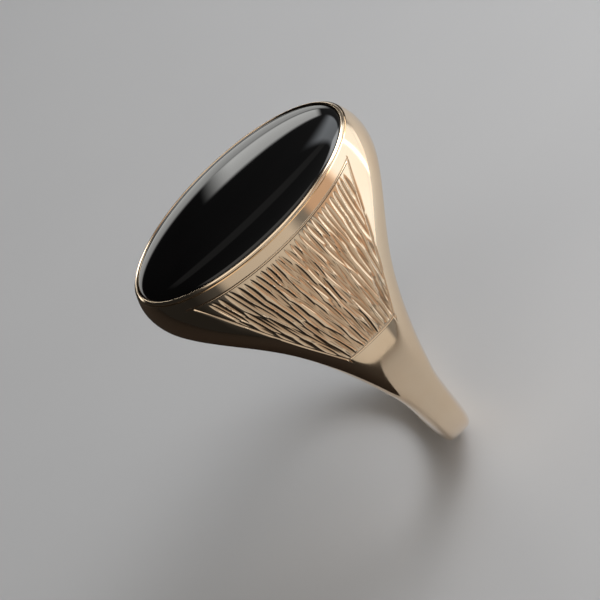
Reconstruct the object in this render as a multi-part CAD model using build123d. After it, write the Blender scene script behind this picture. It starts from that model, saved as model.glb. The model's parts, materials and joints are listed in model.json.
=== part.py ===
from build123d import *
import os
from math import cos, exp, pi, radians, sin

# A signet ring: an oval stone rubbed over in a bezel, on a wide head whose shoulders
# taper down to a narrow plain shank.
# Millimetres. Y is the finger's axis and the long axis of the stone, Z points up
# through the head, X goes round the finger. The origin is the centre of the bore.

# ---- finger hole and band -------------------------------------------------------
bore_radius = 9.8            # finger hole
side_thickness = 1.6         # metal beside the finger, where head and shank meet
back_thickness = 1.35        # metal under the finger
side_width = 4.08            # band's width where head and shank meet
back_width = 2.9             # band's width under the finger

# ---- head -----------------------------------------------------------------------
head_length = 18.3           # body's top edge, along the finger
head_width = 11.5            # body's top edge, round the finger
head_rise = 2.25             # body's top edge above the top of the bore
shoulder_lean = 35.0         # degrees that the shoulder leans out from the top edge
shoulder_reach = 3.6         # how far it keeps that lean
side_reach = 4.6             # how far the outer side stays upright above the joint
swell_out = 1.95             # handle of the end outline at the top edge, outwards
swell_down = 4.58            # and downwards
flare_out = 2.52             # handle of the end outline at the joint, outwards
flare_up = 7.69              # and upwards
top_squareness = 2.0         # 2 is a true ellipse, more is squarer
side_squareness = 5.4        # section of the band where head and shank meet

# ---- setting --------------------------------------------------------------------
bezel_step = 0.10            # ledge of the body outside the bezel
bezel_proud = 0.25           # bezel's lip above the body's top edge
bezel_thickness = 0.22       # strip that the bezel is made of
lip_round = 0.08             # burnished outer edge of the lip
floor_thickness = 0.5        # metal between the bore and the setting's floor
bearing_width = 0.9          # ledge that the stone sits on
bearing_height = 0.45
window_step = 0.35           # window in the floor is this much inside the bearing
stone_clearance = 0.03       # between the stone and the bezel
lip_cover = 0.22             # lip's height above the stone's upright edge
dome_rise = 1.12             # crown of the stone above its upright edge
back_bevel = 0.15            # bevel round the stone's flat back

# ---- how finely the free shapes are drawn ---------------------------------------
quarter_steps = 16           # points on a quarter of a section
head_sections = 13
shank_sections = 13

# ---- worked out from the sizes above --------------------------------------------
body_top = bore_radius + head_rise
side_radius = bore_radius + side_thickness
back_radius = bore_radius + back_thickness
setting_floor = bore_radius + floor_thickness
seat_height = setting_floor + bearing_height
lip_height = body_top + bezel_proud
stone_edge = lip_height - lip_cover


def bezier(ends, handles, t):
    """Point at t on a cubic curve: ends are (start, finish), handles are the two between."""
    (a, d), (b, c) = ends, handles
    s = 1 - t
    return tuple(s**3 * a[i] + 3 * s * s * t * b[i] + 3 * s * t * t * c[i] + t**3 * d[i]
                 for i in (0, 1))


def at_height(ends, handles, z):
    """Half-width of an outline, a curve of (half-width, height) points, at height z."""
    low, high = 0.0, 1.0                     # the curve starts at the top and comes down
    for _ in range(50):
        middle = (low + high) / 2
        if bezier(ends, handles, middle)[1] > z:
            low = middle
        else:
            high = middle
    return bezier(ends, handles, (low + high) / 2)[0]


def shoulder_x(z):
    """Outer half-width of the head round the finger, at height z."""
    top = (head_width / 2, body_top)
    side = (side_radius, 0.0)
    lean = radians(shoulder_lean)
    top_handle = (top[0] + shoulder_reach * sin(lean), top[1] - shoulder_reach * cos(lean))
    side_handle = (side[0], side_reach)
    return at_height((top, side), (top_handle, side_handle), z)


def end_y(z):
    """Outer half-length of the head along the finger, at height z."""
    top = (head_length / 2, body_top)
    side = (side_width / 2, 0.0)
    top_handle = (top[0] + swell_out, top[1] - swell_down)
    side_handle = (side[0] + flare_out, flare_up)
    return at_height((top, side), (top_handle, side_handle), z)


def squareness(z):
    return top_squareness + (side_squareness - top_squareness) * (1 - z / body_top) ** 2


def superellipse_point(a, b, n, angle):
    """Point of a squared oval with half-axes a and b, in the direction of an angle."""
    c, s = cos(angle), sin(angle)
    size = (abs(c) ** n + abs(s) ** n) ** (1 / n)
    return a * c / size, b * s / size


def head_section(z):
    """Level section of the head's outside."""
    a, b, n = shoulder_x(z), end_y(z), squareness(z)
    step = pi / 2 / quarter_steps
    points = [superellipse_point(a, b, n, i * step) for i in range(4 * quarter_steps)]
    return Face(Wire(Spline(*[Vector(x, y, z) for x, y in points], periodic=True)))


def bore():
    """Finger hole, along Y and longer than any part of the ring."""
    return Rot(90, 0, 0) * Cylinder(bore_radius, 3 * head_length)


def oval_column(half_width, half_length, bottom, top):
    return Pos(0, 0, bottom) * extrude(Ellipse(half_width, half_length), top - bottom)


def bezel_half_axes(inset):
    """Half-axes of the oval that lies inset inside the bezel's outer wall."""
    return (head_width / 2 - bezel_step - inset, head_length / 2 - bezel_step - inset)


def make_head():
    """Head and both shoulders in one casting, down to the joint with the shank."""
    heights = [body_top * (1 - i / (head_sections - 1)) for i in range(head_sections)]
    body = loft([head_section(z) for z in heights])
    pocket = oval_column(*bezel_half_axes(0), setting_floor, body_top + 1)
    window = oval_column(*bezel_half_axes(bezel_thickness + bearing_width + window_step),
                         0, body_top)
    return body - bore() - pocket - window


def shank_section(angle):
    """Section of the band at an angle below the joint; it runs inside the bore, to be cut."""
    turned = min(angle, pi - angle)                       # the same on both sides
    share = sin(turned) ** 2
    outer = side_radius + (back_radius - side_radius) * share
    # the band goes on narrowing at the rate the head ends with, and levels out
    narrowing = (flare_out / flare_up) * side_radius / ((side_width - back_width) / 2)
    half_width = (back_width + (side_width - back_width) * exp(-narrowing * turned)) / 2
    inner = bore_radius - side_thickness / 2
    across = [superellipse_point(outer, half_width, side_squareness, i * pi / 2 / quarter_steps)
              for i in range(quarter_steps)]
    across = [(r, y) for r, y in across if r > bore_radius]
    edge_y = half_width * (1 - (bore_radius / outer) ** side_squareness) ** (1 / side_squareness)
    across.append((bore_radius, edge_y))
    outline = [(r, -y) for r, y in reversed(across[1:])] + across

    def place(r, y):
        return Vector(r * cos(angle), y, -r * sin(angle))

    curve = Spline(*[place(r, y) for r, y in outline])
    sides = Polyline(place(bore_radius, edge_y), place(inner, edge_y),
                     place(inner, -edge_y), place(bore_radius, -edge_y))
    return Face(Wire([curve, *sides.edges()]))


def make_shank():
    """Plain D-section hoop under the finger, soldered to the head at both ends."""
    angles = [pi * i / (shank_sections - 1) for i in range(shank_sections)]
    return loft([shank_section(angle) for angle in angles]) - bore()


def make_bezel():
    """Oval strip round the stone, its lip burnished over the stone's edge."""
    wall = oval_column(*bezel_half_axes(0), setting_floor, lip_height)
    outer_lip = wall.edges().group_by(Axis.Z)[-1]
    wall = fillet(outer_lip, lip_round)
    return wall - oval_column(*bezel_half_axes(bezel_thickness), 0, lip_height + 1)


def make_bearing():
    """Flat oval ring inside the bezel that the stone rests on."""
    ring = oval_column(*bezel_half_axes(bezel_thickness), setting_floor, seat_height)
    return ring - oval_column(*bezel_half_axes(bezel_thickness + bearing_width), 0, lip_height)


def make_onyx():
    """Oval buff-top stone: flat back, upright edge and a low crown that rolls over to it."""
    half_width, half_length = bezel_half_axes(bezel_thickness + stone_clearance)
    crown = stone_edge + dome_rise
    edge = (half_width, stone_edge)
    outline = Polyline((0, seat_height), (half_width - back_bevel, seat_height),
                       (half_width, seat_height + back_bevel), edge)
    arc = EllipticalCenterArc((0, stone_edge), half_width, dome_rise, start_angle=0, arc_size=90)
    axis = Line((0, crown), (0, seat_height))
    profile = Plane.XZ * make_face([*outline.edges(), arc, axis])
    return scale(revolve(profile, Axis.Z), by=(1, half_length / half_width, 1))


parts = {
    "head": make_head,
    "shank": make_shank,
    "bezel": make_bezel,
    "bearing": make_bearing,
    "onyx": make_onyx,
}

os.makedirs("parts", exist_ok=True)
for name, make in parts.items():
    shape = make()
    shape.label = name
    export_step(shape, f"parts/{name}.step")
    print(name, round(shape.volume, 2), "mm3")
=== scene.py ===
import bmesh
import bpy
import json
import math
import numpy as np
import random
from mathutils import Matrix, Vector


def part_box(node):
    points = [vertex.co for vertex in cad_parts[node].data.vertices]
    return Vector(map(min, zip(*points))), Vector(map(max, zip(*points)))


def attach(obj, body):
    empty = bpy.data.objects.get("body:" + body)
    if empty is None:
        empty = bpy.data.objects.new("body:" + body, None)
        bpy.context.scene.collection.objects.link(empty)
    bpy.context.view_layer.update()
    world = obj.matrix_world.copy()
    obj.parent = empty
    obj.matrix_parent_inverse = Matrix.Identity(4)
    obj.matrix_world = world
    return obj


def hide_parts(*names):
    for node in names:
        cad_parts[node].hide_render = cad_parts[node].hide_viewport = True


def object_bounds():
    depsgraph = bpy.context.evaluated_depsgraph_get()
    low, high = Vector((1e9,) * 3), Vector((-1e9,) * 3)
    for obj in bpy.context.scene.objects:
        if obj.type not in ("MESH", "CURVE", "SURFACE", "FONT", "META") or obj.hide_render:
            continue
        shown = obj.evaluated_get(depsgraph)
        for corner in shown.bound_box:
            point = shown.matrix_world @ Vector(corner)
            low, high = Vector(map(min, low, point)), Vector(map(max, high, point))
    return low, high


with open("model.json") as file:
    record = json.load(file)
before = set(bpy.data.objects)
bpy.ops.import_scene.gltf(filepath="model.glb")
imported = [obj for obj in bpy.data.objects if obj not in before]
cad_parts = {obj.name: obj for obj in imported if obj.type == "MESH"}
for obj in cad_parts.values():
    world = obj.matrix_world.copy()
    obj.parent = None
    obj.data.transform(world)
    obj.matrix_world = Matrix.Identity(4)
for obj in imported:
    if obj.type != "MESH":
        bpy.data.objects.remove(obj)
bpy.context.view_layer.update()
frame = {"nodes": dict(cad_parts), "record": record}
nodes = frame["nodes"]
print("frame loaded:", sorted(nodes))

mm = 0.001  # pieces are modelled in millimetres and shrunk to metres when finished


def mmBox(node):
    low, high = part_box(node)
    return low / mm, high / mm


# sizes that come from the frame
headHigh = mmBox("head")[1]
bezelLow, bezelHigh = mmBox("bezel")
shankLow, shankHigh = mmBox("shank")
onyxLow, onyxHigh = mmBox("onyx")
boreRadius = [m["dims"]["r_mm"] for m in frame["record"]["mounts"] if m["name"] == "finger_bore"][0]
sideRadius = shankHigh.x          # outside of the ring where head and shank meet
backRadius = -shankLow.z          # outside of the ring under the finger

# the free outline of the head and the band, the same as in the frame
outline = {
    "bezelStep": 0.10,            # ledge outside the bezel
    "shoulderLean": 35.0,         # degrees out from upright at the top edge
    "shoulderReach": 3.6,
    "sideReach": 4.6,
    "swell": (1.95, 4.58),        # handle of the end outline at the top edge
    "flare": (2.52, 7.69),        # and at the joint with the shank
    "sideWidth": 4.08,
    "backWidth": 2.9,
    "topSquareness": 2.0,
    "sideSquareness": 5.4,
}


def curvePoints(start, startHandle, endHandle, end, steps=600):  # points on a cubic curve
    t = np.linspace(0, 1, steps)[:, None]
    s = 1 - t
    a, b, c, d = (np.array(p, float) for p in (start, startHandle, endHandle, end))
    return s**3 * a + 3 * s * s * t * b + 3 * s * t * t * c + t**3 * d


bodyTop = headHigh.z
topHalfWidth = bezelHigh.x + outline["bezelStep"]
topHalfLength = bezelHigh.y + outline["bezelStep"]
lean = math.radians(outline["shoulderLean"])
shoulderCurve = curvePoints(
    (topHalfWidth, bodyTop),
    (topHalfWidth + outline["shoulderReach"] * math.sin(lean),
     bodyTop - outline["shoulderReach"] * math.cos(lean)),
    (sideRadius, outline["sideReach"]),
    (sideRadius, 0))
endCurve = curvePoints(
    (topHalfLength, bodyTop),
    (topHalfLength + outline["swell"][0], bodyTop - outline["swell"][1]),
    (outline["sideWidth"] / 2 + outline["flare"][0], outline["flare"][1]),
    (outline["sideWidth"] / 2, 0))


def halfWidthAt(z):  # round the finger
    return np.interp(z, shoulderCurve[::-1, 1], shoulderCurve[::-1, 0])


def halfLengthAt(z):  # along the finger
    return np.interp(z, endCurve[::-1, 1], endCurve[::-1, 0])


def squarenessAt(z):
    extra = outline["sideSquareness"] - outline["topSquareness"]
    return outline["topSquareness"] + extra * (1 - z / bodyTop) ** 2


def squaredOval(a, b, n, angle):
    c, s = np.cos(angle), np.sin(angle)
    size = (np.abs(c) ** n + np.abs(s) ** n) ** (1 / n)
    return a * c / size, b * s / size


def boreEdgeAngle(outer, n, boreX):  # where a section's outline meets the bore
    across = np.clip(boreX / outer, 0, 1)
    return np.arctan2((1 - across**n) ** (1 / n), across)


def coords(verts):
    return np.array([v.co for v in verts])


def setCoords(verts, co):
    for v, p in zip(verts, co):
        v.co = p


def loopBetween(bm, test):  # edges whose both ends pass a test
    return [e for e in bm.edges if test(e.verts[0].co) and test(e.verts[1].co)]


def extrudeLoop(bm, edges):
    made = bmesh.ops.extrude_edge_only(bm, edges=edges)["geom"]
    newVerts = [g for g in made if isinstance(g, bmesh.types.BMVert)]
    newEdges = [g for g in made if isinstance(g, bmesh.types.BMEdge)
                and g.verts[0] in newVerts and g.verts[1] in newVerts]
    return newVerts, newEdges


def softenEdges(bm, edges, offset, segments):
    return bmesh.ops.bevel(bm, geom=edges, offset=offset, offset_type="OFFSET", segments=segments,
                           profile=0.5, affect="EDGES", clamp_overlap=True, material=-1)


def finishPiece(bm, name, material, replaces, sharpAngle=38):
    bmesh.ops.recalc_face_normals(bm, faces=bm.faces)
    bmesh.ops.scale(bm, vec=(mm, mm, mm), verts=bm.verts)
    mesh = bpy.data.meshes.new(name)
    bm.to_mesh(mesh)
    bm.free()
    for p in mesh.polygons:
        p.use_smooth = True
    mesh.set_sharp_from_angle(angle=math.radians(sharpAngle))
    piece = bpy.data.objects.new(name, mesh)
    bpy.context.scene.collection.objects.link(piece)
    mesh.materials.append(material)
    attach(piece, "root")
    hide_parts(*replaces)
    print("made", name, len(mesh.polygons), "faces")
    return piece


def newMaterial(name):
    material = bpy.data.materials.new(name)
    material.use_nodes = True
    tree = material.node_tree
    shader = tree.nodes["Principled BSDF"]
    position = tree.nodes.new("ShaderNodeTexCoord").outputs["Object"]
    return material, tree, shader, position


def noiseOn(tree, position, scale, detail=4.0, rough=0.5, stretch=None):
    if stretch:
        mapping = tree.nodes.new("ShaderNodeMapping")
        mapping.inputs["Scale"].default_value = stretch
        tree.links.new(position, mapping.inputs["Vector"])
        position = mapping.outputs["Vector"]
    noise = tree.nodes.new("ShaderNodeTexNoise")
    noise.inputs["Scale"].default_value = scale
    noise.inputs["Detail"].default_value = detail
    noise.inputs["Roughness"].default_value = rough
    tree.links.new(position, noise.inputs["Vector"])
    return noise.outputs["Fac"]


def mapRange(tree, value, fromLow, fromHigh, toLow, toHigh):
    node = tree.nodes.new("ShaderNodeMapRange")
    for socket, number in zip(("From Min", "From Max", "To Min", "To Max"),
                              (fromLow, fromHigh, toLow, toHigh)):
        node.inputs[socket].default_value = number
    tree.links.new(value, node.inputs["Value"])
    return node.outputs["Result"]


def mixColours(tree, factor, first, second):
    node = tree.nodes.new("ShaderNodeMix")
    node.data_type = "RGBA"
    tree.links.new(factor, node.inputs["Factor"])
    for socket, colour in ((node.inputs[6], first), (node.inputs[7], second)):
        if isinstance(colour, tuple):
            socket.default_value = (*colour, 1)
        else:
            tree.links.new(colour, socket)
    return node.outputs[2]


def addBump(tree, shader, height, distance, strength):  # on top of any bump already there
    node = tree.nodes.new("ShaderNodeBump")
    node.inputs["Strength"].default_value = strength
    node.inputs["Distance"].default_value = distance
    tree.links.new(height, node.inputs["Height"])
    if shader.inputs["Normal"].is_linked:
        tree.links.new(shader.inputs["Normal"].links[0].from_socket, node.inputs["Normal"])
    tree.links.new(node.outputs["Normal"], shader.inputs["Normal"])


goldFinish = {
    "colour": (0.93, 0.75, 0.55),       # pale 9 carat yellow
    "warmColour": (0.91, 0.70, 0.49),
    "paintedCutShade": (0.62, 0.42, 0.26),    # painted shade in the bottoms of the cuts
    "roughness": (0.05, 0.13),
    "cutRoughness": 0.22,
    "toneScale": 260, "wearScale": 900, "waveScale": 220, "hairlineScale": 3000,
    "polishWaves": 0.00008,             # heights in metres
    "hairlines": 0.0000015,
}


def makeGold(name, engraved=False, roughness=goldFinish["roughness"]):
    material, tree, shader, position = newMaterial(name)
    shader.inputs["Metallic"].default_value = 1.0
    cloud = noiseOn(tree, position, goldFinish["toneScale"], 3, 0.5)
    tone = mixColours(tree, mapRange(tree, cloud, 0.35, 0.75, 0, 1),
                      goldFinish["colour"], goldFinish["warmColour"])
    smears = noiseOn(tree, position, goldFinish["wearScale"], 5, 0.6)
    wear = mapRange(tree, smears, 0.35, 0.7, *roughness)
    if engraved:
        depth = tree.nodes.new("ShaderNodeAttribute")
        depth.attribute_name = "cutDepth"
        inCut = mapRange(tree, depth.outputs["Fac"], 0.1, 0.9, 0, 1)
        # painted shade: the deeper the cut, the darker and browner its colour
        tone = mixColours(tree, inCut, tone, goldFinish["paintedCutShade"])
        blend = tree.nodes.new("ShaderNodeMix")
        blend.inputs["B"].default_value = goldFinish["cutRoughness"]
        tree.links.new(inCut, blend.inputs["Factor"])
        tree.links.new(wear, blend.inputs["A"])
        wear = blend.outputs["Result"]
    tree.links.new(tone, shader.inputs["Base Color"])
    tree.links.new(wear, shader.inputs["Roughness"])
    waves = noiseOn(tree, position, goldFinish["waveScale"], 1, 0.4)
    addBump(tree, shader, waves, goldFinish["polishWaves"], 1)
    hairlines = noiseOn(tree, position, goldFinish["hairlineScale"], 3, 0.6, stretch=(1, 0.06, 1))
    addBump(tree, shader, hairlines, goldFinish["hairlines"], 0.35)
    return material


onyxFinish = {
    "colour": (0.0015, 0.0015, 0.0016),
    "paleColour": (0.004, 0.0035, 0.0035),
    "roughness": (0.015, 0.05),
    "ior": 1.54,
    "layerScale": 120, "smearScale": 500, "pitScale": 1400,
    "pits": 0.000002,                   # metres
}


def makeOnyx():
    material, tree, shader, position = newMaterial("black_onyx")
    layers = noiseOn(tree, position, onyxFinish["layerScale"], 6, 0.6, stretch=(1, 0.35, 2))
    tone = mixColours(tree, mapRange(tree, layers, 0.4, 0.75, 0, 1),
                      onyxFinish["colour"], onyxFinish["paleColour"])
    tree.links.new(tone, shader.inputs["Base Color"])
    smears = noiseOn(tree, position, onyxFinish["smearScale"], 5, 0.65)
    tree.links.new(mapRange(tree, smears, 0.35, 0.75, *onyxFinish["roughness"]),
                   shader.inputs["Roughness"])
    shader.inputs["IOR"].default_value = onyxFinish["ior"]
    pits = noiseOn(tree, position, onyxFinish["pitScale"], 4, 0.6)
    addBump(tree, shader, pits, onyxFinish["pits"], 0.1)
    return material


polishedGold = makeGold("polished_gold")
engravedGold = makeGold("engraved_gold", engraved=True)
toolFinishedGold = makeGold("tool_finished_gold", roughness=(0.28, 0.42))
blackOnyx = makeOnyx()
print("made the gold and onyx finishes")

headMesh = {
    "rows": (7, 6, 76, 6, 17),   # down the shoulder: band, border, panel, border, plain
    "panelColumns": 300,
    "flankColumns": 24,
    "endRows": 0.13,             # share of the rows on the end of the head, above the bore
    "edgeBend": 2.0,             # how late the rows turn towards the bore's edge
    "columnBend": 1.5,           # and how the flank's columns crowd at the panel
    "boreRings": 14,
    "softEdge": 0.14,            # rounding of the bore's edges
    "settingFloor": bezelLow.z,
    "windowInset": 1.47,         # window's edge inside the bezel's outer wall
}
panel = {
    "top": 11.45, "bottom": 4.3,             # heights of its level edges
    "side": ((6.95, 11.45), (5.35, 9.6), (4.45, 7.6), (2.05, 4.3)),   # half-width and height
    "flareAbove": 0.7, "halfAtJoint": 1.25,  # how its sides carry on above and below
    "overrun": 0.45,                         # the top line runs on past one corner
    "borderWidth": 0.095, "borderDepth": 0.05,
    "pitch": 0.44, "tierStep": 1.25, "firstStart": 0.22,
    "cutLength": (2.1, 3.3), "cutWidth": (0.17, 0.22), "cutDepth": (0.055, 0.09),
    "fan": (0.3, 0.45), "tilt": 0.04, "wander": 0.045, "bow": 0.04,
    "stray": (0.05, 0.22),                   # how far a cut strays across and along
    "firstStray": 0.04,                      # and along in the first tier, which is neat
    "sideGap": 0.22, "fadeRoom": 0.25,       # cuts stay off the border and fade towards it
    "leastWidth": 0.03,
    "seed": 7,
}
panelSide = curvePoints(*panel["side"])

shoulderRun = np.concatenate([[0], np.cumsum(np.hypot(*np.diff(shoulderCurve, axis=0).T))])


def runAt(z):  # distance down the shoulder from the top edge
    return np.interp(-np.asarray(z), -shoulderCurve[:, 1], shoulderRun)


def panelHalf(z):  # the panel's half-width, and its lines carried on above and below
    inside = np.interp(z, panelSide[::-1, 1], panelSide[::-1, 0])
    above = panelSide[0, 0] + (z - panelSide[0, 1]) * panel["flareAbove"]
    joint = panel["halfAtJoint"]
    below = joint + (panelSide[-1, 0] - joint) * z / panelSide[-1, 1]
    return np.where(z > panelSide[0, 1], above, np.where(z < panelSide[-1, 1], below, inside))


def rowHeights():
    top, bottom = runAt(panel["top"]), runAt(panel["bottom"])
    width = panel["borderWidth"]
    stops = (0, top - width, top + width, bottom - width, bottom + width, shoulderRun[-1])
    runs = [np.linspace(a, b, n, endpoint=False)
            for a, b, n in zip(stops, stops[1:], headMesh["rows"])]
    runs = np.append(np.concatenate(runs), shoulderRun[-1])
    return np.interp(runs, shoulderRun, shoulderCurve[:, 1])


def shoulderShell(bm, side):
    heights = rowHeights()
    rows = len(heights) - 1
    columns = headMesh["panelColumns"] + 2 * headMesh["flankColumns"]
    made = bmesh.ops.create_grid(bm, x_segments=columns, y_segments=rows, size=1)["verts"]
    uv = coords(made)
    row = np.rint((1 - uv[:, 1]) / 2 * rows).astype(int)
    column = np.rint(uv[:, 0] * columns / 2)
    across = np.abs(column) / (headMesh["panelColumns"] / 2)
    flank = np.clip((np.abs(column) - headMesh["panelColumns"] / 2) / headMesh["flankColumns"], 0, 1)
    # heights along the edge: down the end of the head, then round the bore
    topRows = round(rows * headMesh["endRows"])
    turn = np.clip((row - topRows) / (rows - topRows), 0, 1) * math.pi / 2
    zEdge = np.where(row < topRows, bodyTop + (boreRadius - bodyTop) * row / topRows,
                     boreRadius * np.cos(turn))
    z = heights[row] + (zEdge - heights[row]) * flank ** headMesh["edgeBend"]
    z[row == rows] = 0
    outer, length, n = halfWidthAt(z), halfLengthAt(z), squarenessAt(z)
    # the panel's columns keep their distance, the flank's fan out from its side
    half = panelHalf(z)
    y = half * np.clip(across, 0, 1)
    x = outer * (1 - (y / length) ** n) ** (1 / n)
    sideAngle = np.arctan2(half / length, (1 - (half / length) ** n) ** (1 / n))
    boreX = np.sqrt(np.clip(boreRadius**2 - z**2, 0, None))
    angle = sideAngle + (boreEdgeAngle(outer, n, boreX) - sideAngle) * flank ** headMesh["columnBend"]
    flankX, flankY = squaredOval(outer, length, n, angle)
    x, y = np.where(flank > 0, flankX, x), np.where(flank > 0, flankY, y)
    x[(flank > 1 - 1e-6) & (row <= topRows)] = 0
    setCoords(made, np.stack([side * x, side * np.sign(column) * y, z], 1))


def towardsWindow(co, share, halfAxes):  # slides points along the bore, a share of the way in
    turn = np.arctan2(co[:, 0], co[:, 2])
    low, high = np.zeros(len(co)), np.ones(len(co))
    for _ in range(40):
        middle = (low + high) / 2
        x, y = boreRadius * np.sin(turn * middle), co[:, 1] * middle
        outside = (x / halfAxes[0]) ** 2 + (y / halfAxes[1]) ** 2 > 1
        high = np.where(outside, middle, high)
        low = np.where(outside, low, middle)
    scale = 1 + (high - 1) * share
    turn, y = turn * scale, co[:, 1] * scale
    return np.stack([boreRadius * np.sin(turn), y, boreRadius * np.cos(turn)], 1)


def barkStrokes(seed):
    # tiers of leaf-shaped graver cuts, each tier between the ends of the one above
    rng = random.Random(seed)
    top, bottom = float(runAt(panel["top"])), float(runAt(panel["bottom"]))
    strokes = []
    tiers = int((bottom - top) / panel["tierStep"]) + 1
    for tier in range(tiers):
        start = top + panel["firstStart"] + tier * panel["tierStep"]
        count = int(panel["side"][0][0] / panel["pitch"]) + 2
        for place in range(-count, count + 1):
            strayAcross, strayAlong = panel["stray"]
            if tier == 0:
                strayAlong = panel["firstStray"]
            length = rng.uniform(*panel["cutLength"])
            begin = start + rng.gauss(0, strayAlong)
            across = (place + tier % 2 / 2) * panel["pitch"] + rng.gauss(0, strayAcross)
            strokes.append({
                "begin": begin, "across": across, "length": length,
                "width": rng.uniform(*panel["cutWidth"]),
                "depth": rng.uniform(*panel["cutDepth"]),
                "wander": panel["tilt"] + rng.gauss(0, panel["wander"]),
                "bow": rng.gauss(0, panel["bow"]),
            })
    return strokes


def panelSlope(across, half):  # how much a cut leans inwards, less than the panel's sides do
    share = across / half
    length = float(runAt(panel["bottom"]) - runAt(panel["top"]))
    sideLean = (panelSide[-1, 0] - panelSide[0, 0]) / length
    return sideLean * (panel["fan"][0] * share + panel["fan"][1] * share**3)


def cutDepthAt(run, y, z, strokes):
    # how deep the engraving is at each point, and 0 outside the cuts
    depth = np.zeros(len(run))
    top, bottom = float(runAt(panel["top"])), float(runAt(panel["bottom"]))
    half = panelHalf(z)
    for stroke in strokes:
        startHalf = float(panelHalf(np.interp(stroke["begin"], shoulderRun, shoulderCurve[:, 1])))
        if abs(stroke["across"]) > startHalf - panel["sideGap"]:
            continue
        t = (run - stroke["begin"]) / stroke["length"]
        near = np.where((t > 0) & (t < 1))[0]
        if not len(near):
            continue
        t = t[near]
        slope = panelSlope(stroke["across"], startHalf) + stroke["wander"]
        middle = stroke["across"] + slope * t * stroke["length"] + stroke["bow"] * 4 * t * (1 - t)
        taper = np.sin(np.pi * t**0.75) ** 0.6
        # cuts stop short of the lines round the panel
        room = np.minimum(half[near] - np.abs(middle), bottom - run[near]) / panel["fadeRoom"]
        room = np.clip(room, 0, 1)
        width = np.maximum(stroke["width"] * taper * (0.5 + 0.5 * room), panel["leastWidth"])
        off = (y[near] - middle) / width
        cut = stroke["depth"] * taper * room * np.clip(1 - off**2, 0, None)
        depth[near] = np.maximum(depth[near], cut)
    # fine lines that frame the panel
    width = panel["borderWidth"]
    alongSide = (run > top - width) & (run < bottom + width)
    alongTop = (np.abs(y) < half + width) | ((y < 0) & (y > -half - panel["overrun"]))
    alongBottom = np.abs(y) < half + width
    for distance, allowed in ((np.abs(y) - half, alongSide), (run - top, alongTop),
                              (run - bottom, alongBottom)):
        line = panel["borderDepth"] * np.clip(1 - (distance / width) ** 2, 0, None)
        depth = np.maximum(depth, np.where(allowed, line, 0))
    return depth


def engrave(bm, side):
    bm.normal_update()
    layer = bm.verts.layers.float["cutDepth"]
    verts = [v for v in bm.verts if v.co.x * side > 3 and panel["bottom"] - 0.3 < v.co.z
             < panel["top"] + 0.3 and v.normal.x * side > 0.2]
    co = coords(verts)
    strokes = barkStrokes(panel["seed"] + side)
    depth = cutDepthAt(runAt(co[:, 2]), co[:, 1] * side, co[:, 2], strokes)
    for v, d in zip(verts, depth):
        if d > 0:
            v.co -= v.normal * float(d)
            v[layer] = float(min(d / panel["cutDepth"][1], 1))


def makeHead():
    bm = bmesh.new()
    bm.verts.layers.float.new("cutDepth")
    for side in (1, -1):
        shoulderShell(bm, side)
    bmesh.ops.remove_doubles(bm, verts=bm.verts, dist=1e-4)
    # flat faces that meet the shank
    for side in (1, -1):
        joint = loopBetween(bm, lambda co: abs(co.z) < 1e-6 and co.x * side > 0)
        bmesh.ops.contextual_create(bm, geom=joint)
    rim = loopBetween(bm, lambda co: co.z > bodyTop - 1e-4)
    boreEdge = [e for e in bm.edges if e.is_boundary and e not in set(rim)]
    # inside of the bore, in rings, up to the window under the stone
    inset = headMesh["windowInset"]
    window = (bezelHigh.x - inset, bezelHigh.y - inset)
    loop = boreEdge
    for ring in range(headMesh["boreRings"]):
        verts, loop = extrudeLoop(bm, loop)
        setCoords(verts, towardsWindow(coords(verts), 1 / (headMesh["boreRings"] - ring), window))
    # up through the window, out over the floor of the setting and up its wall
    verts, loop = extrudeLoop(bm, loop)
    for v in verts:
        v.co.z = headMesh["settingFloor"]
    verts, loop = extrudeLoop(bm, loop)
    bmesh.ops.scale(bm, vec=(bezelHigh.x / window[0], bezelHigh.y / window[1], 1), verts=verts)
    verts, loop = extrudeLoop(bm, loop)
    for v in verts:
        v.co.z = bodyTop
    bmesh.ops.bridge_loops(bm, edges=rim + loop)
    bmesh.ops.recalc_face_normals(bm, faces=bm.faces)
    softenEdges(bm, boreEdgeOnly(bm), headMesh["softEdge"], 3)
    for side in (1, -1):
        engrave(bm, side)
    return finishPiece(bm, "engraved_head", engravedGold, ["head"])


def boreEdgeOnly(bm):  # sharp edges where the outside meets the bore, without the joints
    found = []
    for e in bm.edges:
        a, b = e.verts[0].co, e.verts[1].co
        onBore = all(abs(math.hypot(p.x, p.z) - boreRadius) < 1e-3 for p in (a, b))
        if onBore and e.is_manifold and e.calc_face_angle(0) > math.radians(30):
            if abs(a.z) + abs(b.z) > 1e-4:
                found.append(e)
    return found


makeHead()

shankMesh = {"steps": 96, "across": 40, "softEdge": headMesh["softEdge"]}


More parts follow.
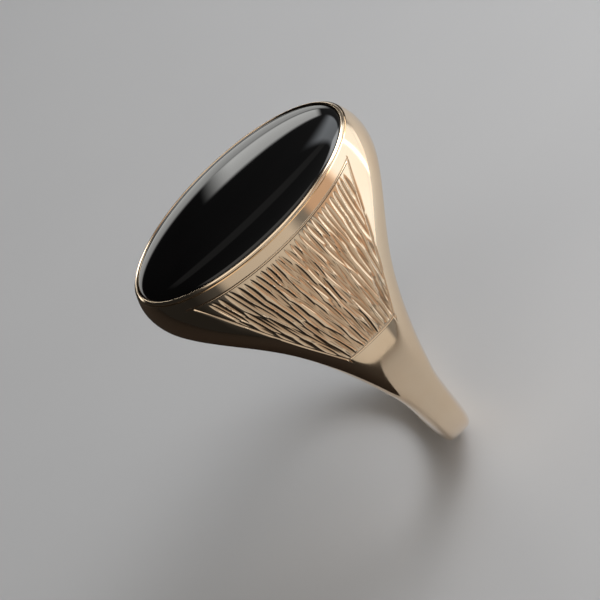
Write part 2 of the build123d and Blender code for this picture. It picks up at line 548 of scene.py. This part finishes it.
def makeShank():
    bm = bmesh.new()
    made = bmesh.ops.create_grid(bm, x_segments=shankMesh["across"], y_segments=shankMesh["steps"],
                                 size=1)["verts"]
    uv = coords(made)
    angle, v = (uv[:, 1] + 1) / 2 * math.pi, uv[:, 0]
    turned = np.minimum(angle, math.pi - angle)
    outer = sideRadius + (backRadius - sideRadius) * np.sin(turned) ** 2
    sideWidth, backWidth = outline["sideWidth"], outline["backWidth"]
    # the band narrows at the rate that the head ends with, and levels out
    flareOut, flareUp = outline["flare"]
    narrowing = flareOut / flareUp * sideRadius / ((sideWidth - backWidth) / 2)
    half = (backWidth + (sideWidth - backWidth) * np.exp(-narrowing * turned)) / 2
    n = outline["sideSquareness"]
    r, y = squaredOval(outer, half, n, v * boreEdgeAngle(outer, n, boreRadius))
    setCoords(made, np.stack([r * np.cos(angle), y, -r * np.sin(angle)], 1))
    # close the inside with straight strips along the finger
    edges = [e for e in bm.edges if e.is_boundary
             and all(abs(math.hypot(p.co.x, p.co.z) - boreRadius) < 1e-3 for p in e.verts)]
    near = [e for e in edges if e.verts[0].co.y < 0]
    verts, _ = extrudeLoop(bm, near)
    bmesh.ops.scale(bm, vec=(1, -1, 1), verts=verts)
    bmesh.ops.remove_doubles(bm, verts=bm.verts, dist=1e-4)
    for side in (1, -1):
        joint = [e for e in bm.edges if e.is_boundary and e.verts[0].co.x * side > 0]
        bmesh.ops.contextual_create(bm, geom=joint)
    bmesh.ops.recalc_face_normals(bm, faces=bm.faces)
    softenEdges(bm, boreEdgeOnly(bm), shankMesh["softEdge"], 3)
    return finishPiece(bm, "plain_shank", polishedGold, ["shank"])


makeShank()

bezelShape = {
    "segments": 288,
    # inwards from the outer wall, and down from the lip's crest
    "section": [(0, 2.0), (0, 0.16), (0.008, 0.135), (0.03, 0.105), (0.06, 0.073), (0.09, 0.043),
                (0.115, 0.02), (0.135, 0.006), (0.15, 0.0), (0.168, 0.003), (0.19, 0.015),
                (0.21, 0.035), (0.228, 0.065), (0.24, 0.105), (0.243, 0.15), (0.235, 0.19),
                (0.22, 0.25), (0.22, 2.0)],
}


def makeBezel():
    bm = bmesh.new()
    bmesh.ops.create_circle(bm, segments=bezelShape["segments"], radius=1, cap_ends=False)
    verts = list(bm.verts)
    loop = list(bm.edges)
    size = (1, 1)
    for count, (inset, drop) in enumerate(bezelShape["section"]):
        if count:
            verts, loop = extrudeLoop(bm, loop)
        wanted = (bezelHigh.x - inset, bezelHigh.y - inset)
        bmesh.ops.scale(bm, vec=(wanted[0] / size[0], wanted[1] / size[1], 1), verts=verts)
        for v in verts:
            v.co.z = bezelHigh.z - drop
        size = wanted
    bmesh.ops.bridge_loops(bm, edges=[e for e in bm.edges if e.is_boundary])
    return finishPiece(bm, "rubbed_bezel", polishedGold, ["bezel"])


makeBezel()

stoneShape = {"underLip": 0.22, "backBevel": 0.15, "crownSteps": 28, "turns": 192}
stoneEdge = bezelHigh.z - stoneShape["underLip"]


def makeStone():
    bm = bmesh.new()
    half = onyxHigh.x
    rise = onyxHigh.z - stoneEdge
    # a quarter circle from the crown's highest point, pressed flat
    crown = bm.verts.new((0, 0, 1))
    bmesh.ops.spin(bm, geom=[crown], cent=(0, 0, 0), axis=(0, 1, 0), angle=math.pi / 2,
                   steps=stoneShape["crownSteps"])
    bmesh.ops.scale(bm, vec=(half, 1, rise), verts=bm.verts)
    bmesh.ops.translate(bm, vec=(0, 0, stoneEdge), verts=bm.verts)
    last = max(bm.verts, key=lambda v: v.co.x)
    for point in ((half, onyxLow.z + stoneShape["backBevel"]),
                  (half - stoneShape["backBevel"], onyxLow.z), (0, onyxLow.z)):
        following = bm.verts.new((point[0], 0, point[1]))
        bm.edges.new((last, following))
        last = following
    bmesh.ops.spin(bm, geom=list(bm.verts) + list(bm.edges), cent=(0, 0, 0), axis=(0, 0, 1),
                   angle=2 * math.pi, steps=stoneShape["turns"], use_merge=True)
    bmesh.ops.remove_doubles(bm, verts=bm.verts, dist=1e-5)
    bmesh.ops.scale(bm, vec=(1, onyxHigh.y / half, 1), verts=bm.verts)
    return finishPiece(bm, "onyx_cabochon", blackOnyx, ["onyx"], sharpAngle=35)


makeStone()

# the bearing under the stone stays as it is in the frame, with a duller gold
bearing = nodes["bearing"]
bearing.data.materials.clear()
bearing.data.materials.append(toolFinishedGold)

floorLook = {"half": 0.6, "colour": (0.61, 0.61, 0.62), "paleColour": (0.66, 0.66, 0.665),
             "cloudScale": 40, "roughness": 0.6}


def makeFloor():
    bm = bmesh.new()
    bmesh.ops.create_grid(bm, x_segments=4, y_segments=4, size=floorLook["half"])
    bmesh.ops.translate(bm, vec=(0, 0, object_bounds()[0][2]), verts=bm.verts)
    mesh = bpy.data.meshes.new("floor")
    bm.to_mesh(mesh)
    bm.free()
    floor = bpy.data.objects.new("floor", mesh)
    bpy.context.scene.collection.objects.link(floor)
    material, tree, shader, position = newMaterial("pale_floor")
    clouds = noiseOn(tree, position, floorLook["cloudScale"], 3)
    tone = mixColours(tree, clouds, floorLook["colour"], floorLook["paleColour"])
    tree.links.new(tone, shader.inputs["Base Color"])
    shader.inputs["Roughness"].default_value = floorLook["roughness"]
    shader.inputs["Specular IOR Level"].default_value = 0
    mesh.materials.append(material)
    print("made the floor")


makeFloor()

# painted shade: a near-black sheet lying on the floor, hidden from the camera, that the gold reflects
paintedShadeCard = {
    "low": (-400, -590), "high": (400, -13), "above": 0.3,   # millimetres
    "colour": (0.012, 0.008, 0.006), "paleColour": (0.03, 0.018, 0.012),
    "shadeNoiseScale": 900, "roughness": 0.9,
}


def makePaintedShadeCard():
    # painted shade: a dark sheet that only reflections see, which darkens the end of the ring turned
    # from the light
    bm = bmesh.new()
    low, high = Vector(paintedShadeCard["low"]), Vector(paintedShadeCard["high"])
    bmesh.ops.create_grid(bm, x_segments=1, y_segments=1, size=0.5)
    bmesh.ops.scale(bm, vec=(*(high - low), 1), verts=bm.verts)
    middle = (low + high) / 2
    bmesh.ops.translate(bm, vec=(*middle, shankLow.z + paintedShadeCard["above"]), verts=bm.verts)
    bmesh.ops.scale(bm, vec=(mm, mm, mm), verts=bm.verts)
    mesh = bpy.data.meshes.new("painted_shade_card")
    bm.to_mesh(mesh)
    bm.free()
    card = bpy.data.objects.new("painted_shade_card", mesh)
    bpy.context.scene.collection.objects.link(card)
    # painted shade: near-black colour with faint noise
    material, tree, shader, position = newMaterial("painted_shade_sheet")
    shadeNoise = noiseOn(tree, position, paintedShadeCard["shadeNoiseScale"], 4)
    tone = mixColours(tree, shadeNoise, paintedShadeCard["colour"], paintedShadeCard["paleColour"])
    tree.links.new(tone, shader.inputs["Base Color"])
    shader.inputs["Roughness"].default_value = paintedShadeCard["roughness"]
    mesh.materials.append(material)
    card.visible_camera = False
    card.visible_diffuse = False
    card.visible_shadow = False
    print("made the dark card")


makePaintedShadeCard()

shot = {
    "tilt": 33.27, "turn": -1.01, "roll": -43.71,   # degrees
    "distance": 0.300,                              # metres from the centre of the stone's rim
    "aim": (0.0040791, -0.0064362),                 # metres right of the rim's centre and above it
    "lens": 274.914, "sensor": 36,                  # millimetres
}


def makeCamera():
    tilt, turn, roll = (math.radians(shot[k]) for k in ("tilt", "turn", "roll"))
    forward = Vector((math.cos(turn), math.sin(turn), 0))
    towards = math.cos(tilt) * forward + math.sin(tilt) * Vector((0, 0, 1))
    level = Vector((-math.sin(turn), math.cos(turn), 0))
    above = towards.cross(level)
    right = math.cos(roll) * level + math.sin(roll) * above
    up = towards.cross(right)
    rim = Vector((0, 0, bezelHigh.z * mm))
    eye = rim + towards * shot["distance"]
    aside, over = shot["aim"]
    back = (eye - (rim + aside * right + over * up)).normalized()
    right = up.cross(back).normalized()
    up = back.cross(right)
    data = bpy.data.cameras.new("camera")
    data.sensor_width = shot["sensor"]
    data.lens = shot["lens"]
    data.clip_start, data.clip_end = 0.01, 20
    camera = bpy.data.objects.new("camera", data)
    bpy.context.scene.collection.objects.link(camera)
    for column, axis in enumerate((right, up, back)):
        for row in range(3):
            camera.matrix_world[row][column] = axis[row]
    camera.matrix_world.translation = eye
    bpy.context.scene.camera = camera


makeCamera()

softboxes = {
    # heading from +X towards +Y and lift in degrees, distance, width and height in metres,
    # brightness, colour
    "key": (80, 12, 0.16, 0.20, 0.16, 1.0, (0.90, 0.96, 1.0)),
    "keyStrip": (80, 8, 0.15, 0.014, 0.09, 1.3, (0.85, 0.93, 1.0)),
    "top": (88, 42, 0.15, 0.12, 0.08, 3.8, (1.0, 1.0, 1.0)),
    "sideTop": (118, 44, 0.28, 0.38, 0.12, 2.0, (0.9, 0.95, 1.0)),
    "front": (-12, 20, 0.50, 0.52, 0.66, 0.40, (1.0, 0.93, 0.84)),
    "frontRight": (40, 25, 0.50, 0.26, 0.40, 0.35, (1.0, 0.56, 0.27)),
    "frontHigh": (-8, 65, 0.45, 0.60, 0.24, 0.95, (1.0, 0.95, 0.88)),
    "lowBack": (189, 6, 0.45, 0.72, 0.19, 1.5, (1.0, 1.0, 0.97)),
    "backPatch": (170, 22, 0.44, 0.16, 0.11, 3.0, (1.0, 1.0, 0.97)),
    "highBack": (176, 55, 0.45, 0.40, 0.06, 0.11, (1.0, 0.97, 0.92)),
}
lightsMeet = (0, 0, 0.008)  # metres, just under the stone
softEdges = 0.35            # how much of a softbox's half-width fades out
skyTones = (0.015, 0.24)    # on the dark side of the room and on the bright side
brightSide = (0.5, 0.87, 0)


def fadeEdges(data):  # a softbox is brightest in its middle
    data.use_nodes = True
    tree = data.node_tree
    emission = tree.nodes["Emission"]
    place = tree.nodes.new("ShaderNodeNewGeometry").outputs["Parametric"]
    parts = tree.nodes.new("ShaderNodeSeparateXYZ")
    tree.links.new(place, parts.inputs[0])
    product = tree.nodes.new("ShaderNodeMath")
    product.operation = "MULTIPLY"
    for count, axis in enumerate("XY"):
        fromMiddle = tree.nodes.new("ShaderNodeMath")
        fromMiddle.operation = "PINGPONG"
        fromMiddle.inputs[1].default_value = 0.5
        tree.links.new(parts.outputs[axis], fromMiddle.inputs[0])
        fade = mapRange(tree, fromMiddle.outputs[0], 0, softEdges / 2, 0, 1)
        fade.node.interpolation_type = "SMOOTHSTEP"
        tree.links.new(fade, product.inputs[count])
    tree.links.new(product.outputs[0], emission.inputs["Strength"])


def makeLights():
    target = Vector(lightsMeet)
    for name, (heading, lift, distance, width, height, brightness, colour) in softboxes.items():
        data = bpy.data.lights.new(name, "AREA")
        data.shape = "RECTANGLE"
        data.size, data.size_y = width, height
        data.energy = brightness * math.pi * width * height
        data.color = colour
        fadeEdges(data)
        lamp = bpy.data.objects.new(name, data)
        bpy.context.scene.collection.objects.link(lamp)
        side, climb = math.radians(heading), math.radians(lift)
        level = Vector((math.cos(side), math.sin(side), 0))
        away = level * math.cos(climb) + Vector((0, 0, math.sin(climb)))
        lamp.location = target + away * distance
        lamp.rotation_euler = away.to_track_quat("Z", "Y").to_euler()
        lamp.visible_camera = False


def makeSky():  # brighter on the side that the key light is on
    world = bpy.data.worlds.new("studio")
    world.use_nodes = True
    bpy.context.scene.world = world
    tree = world.node_tree
    direction = tree.nodes.new("ShaderNodeTexCoord").outputs["Generated"]
    towardsBright = tree.nodes.new("ShaderNodeVectorMath")
    towardsBright.operation = "DOT_PRODUCT"
    towardsBright.inputs[1].default_value = brightSide
    tree.links.new(direction, towardsBright.inputs[0])
    tone = mapRange(tree, towardsBright.outputs["Value"], -0.5, 1, *skyTones)
    tree.links.new(tone, tree.nodes["Background"].inputs["Color"])


makeLights()
makeSky()
bpy.context.scene.view_settings.view_transform = "Standard"
print("camera and lights placed")
